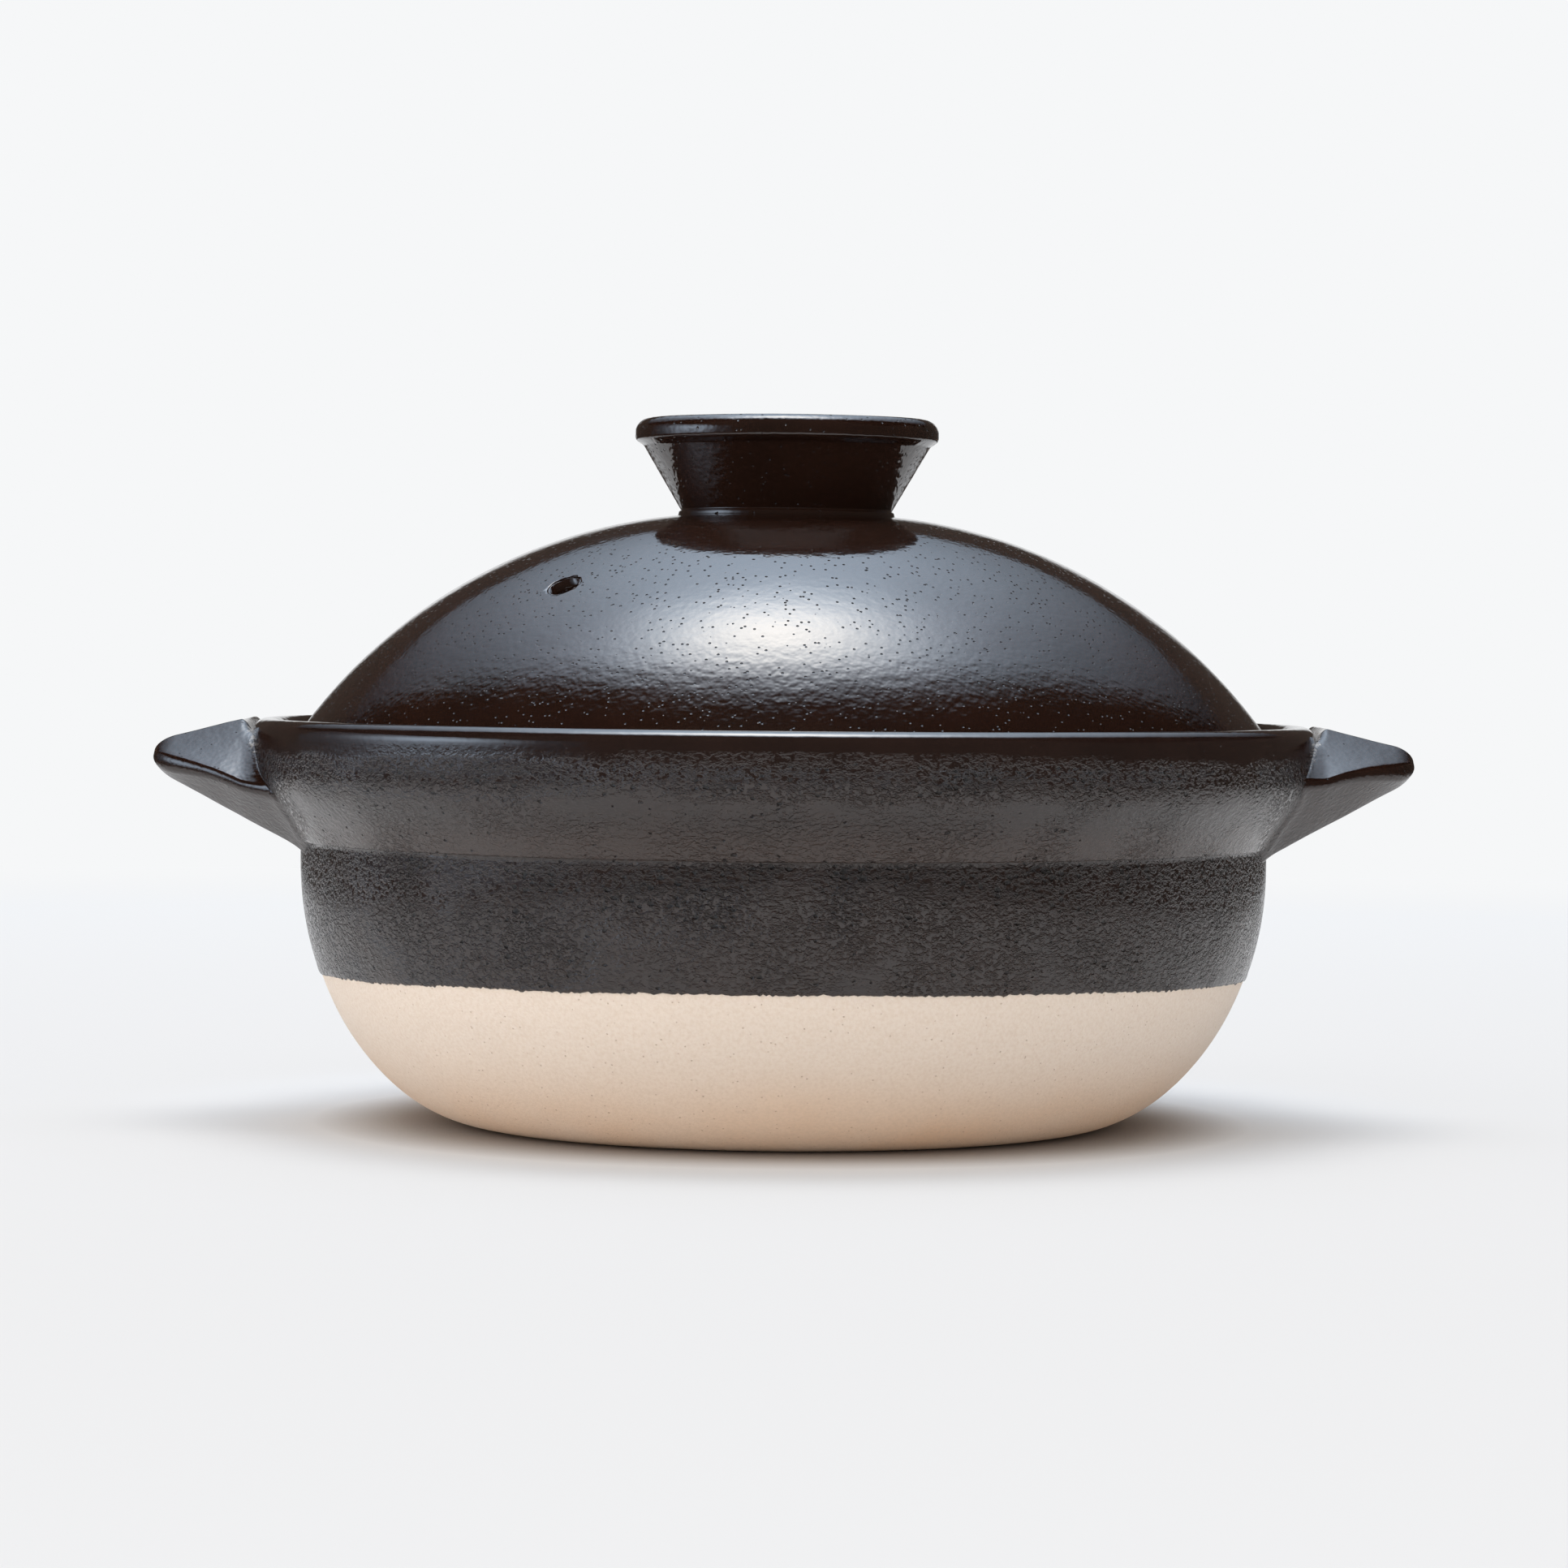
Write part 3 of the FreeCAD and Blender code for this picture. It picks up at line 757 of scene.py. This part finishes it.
def pitted_glaze():
    """The same glaze laid thinner over coarse, scraped clay: satin, brown low on the flare, with pores and
    drag marks that are deepest under the collar and where the band meets the flare."""
    material, tree = new_material("iron glaze on coarse clay")
    place = add(tree, "TexCoord").outputs["Object"]
    height = add(tree, "SeparateXYZ", {0: place}).outputs[2]
    pool = add(tree, "TexNoise", {"Vector": place, "Scale": grain(11), "Detail": 3}).outputs[0]
    colour = add(tree, "Mix", {0: pool, 6: linear("#1a110e"), 7: linear("#281b16")},
                 data_type="RGBA").outputs[2]
    full, none = FLARE_BROWN
    low = add(tree, "MapRange", {0: height, 1: none * MM, 2: full * MM}, interpolation_type=SMOOTH).outputs[0]
    none, full = FLARE_END
    under = add(tree, "MapRange", {0: height, 1: none * MM, 2: full * MM}).outputs[0]
    brown = add(tree, "Math", {0: low, 1: under}, operation="MULTIPLY").outputs[0]
    colour = add(tree, "Mix", {0: brown, 6: colour, 7: linear("#2f211a")}, data_type="RGBA").outputs[2]
    # crumbs of clay under the coat, a little drawn out along the turning of the wheel, and torn pits
    coarse = coarseness(tree, place, height)
    dragged = add(tree, "Mapping", {"Vector": place, "Scale": (0.7, 0.7, 1)}).outputs[0]
    crumb = add(tree, "TexNoise", {"Vector": dragged, "Scale": grain(1.0), "Detail": 3, "Roughness": 0.65})
    crumb = add(tree, "MapRange", {0: crumb.outputs[0], 1: 0.42, 2: 0.64},
                interpolation_type=SMOOTH).outputs[0]
    pit_and_shade = torn_pits(tree, place, dragged, coarse)
    full, none = SKIN_CLOSES
    open_skin = add(tree, "MapRange", {0: height, 1: none * MM, 2: full * MM}).outputs[0]
    pit_and_shade = add(tree, "Math", {0: pit_and_shade, 1: open_skin}, operation="MULTIPLY").outputs[0]
    # painted shade: the pits' colour is darkened, shade painted into the recesses; their bump and roughness
    # are real
    colour = add(tree, "Mix", {0: pit_and_shade, 6: colour, 7: linear("#120c0a")}, data_type="RGBA").outputs[2]
    lumps = add(tree, "TexNoise", {"Vector": place, "Scale": grain(5), "Detail": 2}).outputs[0]
    gloss = add(tree, "MapRange", {0: lumps, 1: 0.3, 2: 0.7, 3: 0.1, 4: 0.16}).outputs[0]
    rough = add(tree, "Mix", {0: open_skin, 2: 0.07, 3: gloss}).outputs[0]
    rough = add(tree, "Mix", {0: pit_and_shade, 2: rough, 3: 0.4}).outputs[0]
    bump = add(tree, "Bump", {"Height": lumps, "Distance": 0.1 * MM, "Strength": 1}).outputs[0]
    bump = add(tree, "Bump", {"Height": crumb, "Distance": 0.6 * MM, "Strength": coarse,
                              "Normal": bump}).outputs[0]
    bump = add(tree, "Bump", {"Height": pit_and_shade, "Distance": 0.5 * MM, "Strength": 1, "Normal": bump},
               invert=True).outputs[0]
    shader = add(tree, "BsdfPrincipled", {"Base Color": colour, "Roughness": rough, "IOR": 1.7,
                                          "Normal": bump})
    add(tree, "OutputMaterial", {"Surface": shader.outputs[0]})
    return material


def stoneware():
    """Bare heatproof stoneware, trimmed and fired: warm cream, matt and grainy, more tan towards the foot,
    with dark grog specks and small open pores."""
    material, tree = new_material("bare stoneware")
    place = add(tree, "TexCoord").outputs["Object"]
    height = add(tree, "SeparateXYZ", {0: place}).outputs[2]
    cloud = add(tree, "TexNoise", {"Vector": place, "Scale": grain(30), "Detail": 3}).outputs[0]
    low = add(tree, "MapRange", {0: height, 1: CLAY_TAN * MM, 2: 0.0}, interpolation_type=SMOOTH).outputs[0]
    warm = add(tree, "Math", {0: low, 1: cloud}, operation="MULTIPLY").outputs[0]
    colour = add(tree, "Mix", {0: warm, 6: linear("#f0dfce"), 7: linear("#f2c8a0")},
                 data_type="RGBA").outputs[2]
    mottle = add(tree, "TexNoise", {"Vector": place, "Scale": grain(0.8), "Detail": 3}).outputs[0]
    mild = add(tree, "MapRange", {0: mottle, 1: 0.4, 2: 0.75, 3: 0.0, 4: 0.4}).outputs[0]
    colour = add(tree, "Mix", {0: mild, 6: colour, 7: linear("#dcc2a8")}, data_type="RGBA").outputs[2]
    grog = add(tree, "TexVoronoi", {"Vector": place, "Scale": grain(2.1)}).outputs["Distance"]
    speck = add(tree, "MapRange", {0: grog, 1: 0.03, 2: 0.12, 3: 0.6, 4: 0.0}).outputs[0]
    colour = add(tree, "Mix", {0: speck, 6: colour, 7: linear("#b9946f")}, data_type="RGBA").outputs[2]
    sand = add(tree, "TexNoise", {"Vector": place, "Scale": grain(0.5), "Detail": 2,
                                  "Roughness": 0.6}).outputs[0]
    turned_by = add(tree, "Mapping", {"Vector": place, "Scale": (0.05, 0.05, 1)}).outputs[0]
    trimming = add(tree, "TexNoise", {"Vector": turned_by, "Scale": grain(1.4), "Detail": 2}).outputs[0]
    bump = add(tree, "Bump", {"Height": trimming, "Distance": 0.05 * MM, "Strength": 1}).outputs[0]
    bump = add(tree, "Bump", {"Height": sand, "Distance": 0.15 * MM, "Strength": 1,
                              "Normal": bump}).outputs[0]
    bump = add(tree, "Bump", {"Height": speck, "Distance": 0.25 * MM, "Strength": 1, "Normal": bump},
               invert=True).outputs[0]
    shader = add(tree, "BsdfPrincipled", {"Base Color": colour, "Roughness": 0.9, "IOR": 1.5, "Normal": bump})
    add(tree, "OutputMaterial", {"Surface": shader.outputs[0]})
    return material


def dress(piece, material, body, node):
    piece.data.materials.clear()
    piece.data.materials.append(material)
    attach(piece, body)
    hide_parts(node)


# Camera and studio

def camera():
    turn = (math.radians(90 - CAMERA_DOWN), math.radians(-CAMERA_ROLL), 0)
    bpy.ops.object.camera_add(location=CAMERA_PLACE, rotation=turn)
    made = bpy.context.object
    made.data.lens = CAMERA_LENS
    made.data.sensor_width = CAMERA_SENSOR
    bpy.context.scene.camera = made


def backdrop():
    """Pale paper behind and under the pot, as the camera and the glaze see it; an even fill elsewhere."""
    world = bpy.data.worlds.new("studio")
    bpy.context.scene.world = world
    world.use_nodes = True
    tree = world.node_tree
    tree.nodes.clear()
    path = add(tree, "LightPath").outputs
    seen = add(tree, "Math", {0: path["Is Camera Ray"], 1: path["Is Glossy Ray"]},
               operation="MAXIMUM").outputs[0]
    seen = add(tree, "Math", {0: seen, 1: path["Is Transmission Ray"]}, operation="MAXIMUM").outputs[0]
    way = add(tree, "SeparateXYZ", {0: add(tree, "TexCoord").outputs["Generated"]}).outputs
    level = add(tree, "Math", {0: way[0], 1: -FILL_FROM_LEFT * FILL, 2: FILL},
                operation="MULTIPLY_ADD").outputs[0]
    rise = add(tree, "Math", {0: way[2], 1: FILL_FROM_ABOVE, 2: 1 - FILL_FROM_ABOVE / 2},
               operation="MULTIPLY_ADD").outputs[0]
    level = add(tree, "Math", {0: level, 1: rise}, operation="MULTIPLY").outputs[0]
    fill = add(tree, "Background", {"Color": linear(FILL_TONE), "Strength": level}).outputs[0]
    paper = add(tree, "Background", {"Color": linear(PAPER), "Strength": 1.0}).outputs[0]
    both = add(tree, "MixShader", {0: seen, 1: fill, 2: paper}).outputs[0]
    add(tree, "OutputWorld", {"Surface": both})


def cloth(name, front, back, height):
    """A flat sheet between a front and a back edge, each a place along y and a half width."""
    bpy.ops.object.select_all(action="DESELECT")
    bpy.ops.mesh.primitive_grid_add(x_subdivisions=12, y_subdivisions=12, size=2)
    piece = bpy.context.object
    piece.name = name
    for vertex in piece.data.vertices:
        share = (vertex.co.y + 1) / 2
        wide = front[1] + (back[1] - front[1]) * share
        vertex.co = (vertex.co.x * wide, front[0] + (back[0] - front[0]) * share, height)
    return piece


def paper_floor(tree, place, path):
    """The floor's paper: matt and shadowed by the pot, with a painted contact shadow where ambient occlusion
    darkens its colour round the foot, as the camera and the glaze see it; round the pot it partly glows with
    the paper's tone, which paints the pot's shadow lighter there, and farther out it is lifted to the
    backdrop's tone.
    """
    away = add(tree, "VectorMath", {0: place}, operation="LENGTH").outputs["Value"]
    # painted light: from just outside the foot the paper glows more and more, lightening the pot's shadow
    near = add(tree, "MapRange", {0: away, 1: FLOOR_NEAR[0], 2: FLOOR_NEAR[1], 4: FLOOR_LIFT},
               interpolation_type=SMOOTH).outputs[0]
    far = add(tree, "MapRange", {0: away, 1: FLOOR_FAR[0], 2: FLOOR_FAR[1]},
              interpolation_type=SMOOTH).outputs[0]
    # painted contact shadow: ambient occlusion darkens the paper's colour round the foot, but not for diffuse
    # rays
    painted_contact = add(tree, "AmbientOcclusion", {"Distance": PAINTED_CONTACT_REACH}, samples=8).outputs["AO"]
    painted_contact = add(tree, "Math", {0: painted_contact, 1: path["Is Diffuse Ray"]}, operation="MAXIMUM").outputs[0]
    matt = add(tree, "Mix", {0: painted_contact, 6: linear(PAINTED_CONTACT_SHADE), 7: linear(PAPER_MATT)},
               data_type="RGBA").outputs[2]
    matt = add(tree, "BsdfDiffuse", {"Color": matt}).outputs[0]
    tone = add(tree, "Mix", {0: far, 6: linear(PAPER_NEAR), 7: linear(PAPER)}, data_type="RGBA").outputs[2]
    lit = add(tree, "Emission", {"Color": tone}).outputs[0]
    seen = add(tree, "Math", {0: path["Is Camera Ray"], 1: path["Is Glossy Ray"]},
               operation="MAXIMUM").outputs[0]
    lifted = add(tree, "Math", {0: near, 1: far}, operation="MAXIMUM").outputs[0]
    share = add(tree, "Math", {0: lifted, 1: seen}, operation="MULTIPLY").outputs[0]
    return add(tree, "MixShader", {0: share, 1: matt, 2: lit}).outputs[0]


def floor():
    """Pale paper that keeps the pot's shadow and runs out into the backdrop's tone."""
    piece = cloth("floor", (-FLOOR_REACH, FLOOR_REACH), (FLOOR_BACK, FLOOR_REACH), 0)
    material, tree = new_material("studio paper")
    place = add(tree, "TexCoord").outputs["Object"]
    path = add(tree, "LightPath").outputs
    paper = paper_floor(tree, place, path)
    across = add(tree, "SeparateXYZ", {0: place}).outputs
    side = add(tree, "Math", {0: across[0]}, operation="ABSOLUTE").outputs[0]
    wide, deep = CARD_PLACE
    beside = add(tree, "MapRange", {0: side, 1: wide - CARD_SOFT, 2: wide + CARD_SOFT}).outputs[0]
    before = add(tree, "MapRange", {0: across[1], 1: -deep, 2: -deep - CARD_SOFT}).outputs[0]
    cards = add(tree, "Math", {0: beside, 1: before}, operation="MAXIMUM").outputs[0]
    cards = add(tree, "Math", {0: cards, 1: path["Is Glossy Ray"]}, operation="MULTIPLY").outputs[0]
    card = add(tree, "Emission", {"Color": linear(DARK_TONE), "Strength": FLAG_LEVEL}).outputs[0]
    both = add(tree, "MixShader", {0: cards, 1: paper, 2: card}).outputs[0]
    add(tree, "OutputMaterial", {"Surface": both})
    piece.data.materials.append(material)


def soft_glow(tree, place, middle, spread):
    """A glow that is 1 in the middle and falls off over the spread along each axis."""
    spot = add(tree, "Mapping", {"Vector": place, "Location": middle, "Scale": spread},
               vector_type="TEXTURE").outputs[0]
    away = add(tree, "VectorMath", {0: spot, 1: spot}, operation="DOT_PRODUCT").outputs["Value"]
    fall = add(tree, "Math", {0: away, 1: -1.0}, operation="MULTIPLY").outputs[0]
    return add(tree, "Math", {0: fall}, operation="EXPONENT").outputs[0]


def scrim():
    """A large lit cloth overhead, brightest over the pot and cut off a little in front of it."""
    piece = cloth("scrim", SCRIM_FRONT, SCRIM_BACK, SCRIM_HEIGHT)
    material, tree = new_material("lit cloth")
    place = add(tree, "TexCoord").outputs["Object"]
    level = 0.0
    glows = []
    for spread, strength in LAMP_GLOWS:
        glows.append(soft_glow(tree, place, (*LAMP_PLACE, SCRIM_HEIGHT), (*spread, 1)))
        level = add(tree, "Math", {0: glows[-1], 1: strength, 2: level}, operation="MULTIPLY_ADD").outputs[0]
    across = add(tree, "SeparateXYZ", {0: place}).outputs
    bow = add(tree, "Math", {0: across[0], 1: across[0]}, operation="MULTIPLY").outputs[0]
    front = add(tree, "Math", {0: bow, 1: -SCRIM_BOW, 2: across[1]}, operation="MULTIPLY_ADD").outputs[0]
    cut = add(tree, "MapRange", {0: front, 1: SCRIM_CUT[0], 2: SCRIM_CUT[1]},
              interpolation_type=SMOOTH).outputs[0]
    level = add(tree, "Math", {0: level, 1: cut}, operation="MULTIPLY").outputs[0]
    tone = add(tree, "Mix", {0: glows[0], 6: linear(CLOTH_TONE), 7: linear(LAMP_TONE)},
               data_type="RGBA").outputs[2]
    light = add(tree, "Emission", {"Color": tone, "Strength": level}).outputs[0]
    add(tree, "OutputMaterial", {"Surface": light})
    piece.data.materials.append(material)
    piece.visible_camera = False


def only_mirrored(piece):
    """Leaves a piece of the studio visible in the glaze alone."""
    piece.visible_camera = False
    piece.visible_diffuse = False
    piece.visible_transmission = False
    piece.visible_shadow = False


def panel():
    """A pale upright panel on the left, which the collar and the knob's lip mirror."""
    bpy.ops.object.select_all(action="DESELECT")
    bpy.ops.mesh.primitive_plane_add(size=2)
    piece = bpy.context.object
    piece.name = "panel"
    middle = Vector(PANEL_PLACE)
    for vertex in piece.data.vertices:
        vertex.co = middle + Vector((0, 2.5 * PANEL_SPREAD[0] * vertex.co.x, middle.z * vertex.co.y))
    material, tree = new_material("pale panel")
    place = add(tree, "TexCoord").outputs["Object"]
    glow = soft_glow(tree, place, PANEL_PLACE, (1, *PANEL_SPREAD))
    level = add(tree, "Math", {0: glow, 1: PANEL_LEVEL, 2: FLAG_LEVEL}, operation="MULTIPLY_ADD").outputs[0]
    light = add(tree, "Emission", {"Color": linear(CLOTH_TONE), "Strength": level}).outputs[0]
    add(tree, "OutputMaterial", {"Surface": light})
    piece.data.materials.append(material)
    only_mirrored(piece)


def flag():
    """Dark cloth round the set, which only the glaze mirrors, with the pale backdrop low behind the pot."""
    bpy.ops.object.select_all(action="DESELECT")
    bpy.ops.mesh.primitive_uv_sphere_add(segments=72, ring_count=90, radius=FLAG_RADIUS)
    piece = bpy.context.object
    piece.name = "flag"
    material, tree = new_material("dark cloth")
    across = add(tree, "SeparateXYZ", {0: add(tree, "TexCoord").outputs["Object"]}).outputs
    azimuth = add(tree, "Math", {0: across[0], 1: across[1]}, operation="ARCTAN2").outputs[0]
    aside = add(tree, "Math", {0: azimuth}, operation="ABSOLUTE").outputs[0]
    side, top, soft = (math.radians(angle) for angle in (WINDOW_SIDE, WINDOW_TOP, WINDOW_SOFT))
    within = add(tree, "MapRange", {0: aside, 1: side + soft, 2: side - soft}).outputs[0]
    low = add(tree, "MapRange", {0: across[2], 1: FLAG_RADIUS * math.sin(top + soft),
                                 2: FLAG_RADIUS * math.sin(top - soft)}).outputs[0]
    window = add(tree, "Math", {0: within, 1: low}, operation="MULTIPLY").outputs[0]
    dim = add(tree, "Emission", {"Color": linear(DARK_TONE), "Strength": FLAG_LEVEL}).outputs[0]
    paper = add(tree, "Emission", {"Color": linear(PAPER), "Strength": 1.0}).outputs[0]
    both = add(tree, "MixShader", {0: window, 1: dim, 2: paper}).outputs[0]
    add(tree, "OutputMaterial", {"Surface": both})
    piece.data.materials.append(material)
    only_mirrored(piece)


camera()
backdrop()
floor()
scrim()
panel()
flag()

gloss = iron_glaze("iron glaze")
ear_gloss = iron_glaze("iron glaze over slip", luted=True)
satin = pitted_glaze()
clay = stoneware()

dress(pot_clay(), clay, "pot", "pot_body")
dress(pot_glaze(), satin, "pot", "pot_outer_glaze")
dress(pot_lining(), gloss, "pot", "pot_inner_glaze")
dress(ear("ear_left", -1), ear_gloss, "pot", "handle_left")
dress(ear("ear_right", 1), ear_gloss, "pot", "handle_right")
dress(lid_clay(), clay, "lid", "lid_dome")
dress(lid_glaze(), gloss, "lid", "lid_outer_glaze")
dress(lid_lining(), gloss, "lid", "lid_inner_glaze")
dress(knob(), gloss, "lid", "lid_knob")

bpy.context.scene.view_settings.view_transform = "Standard"
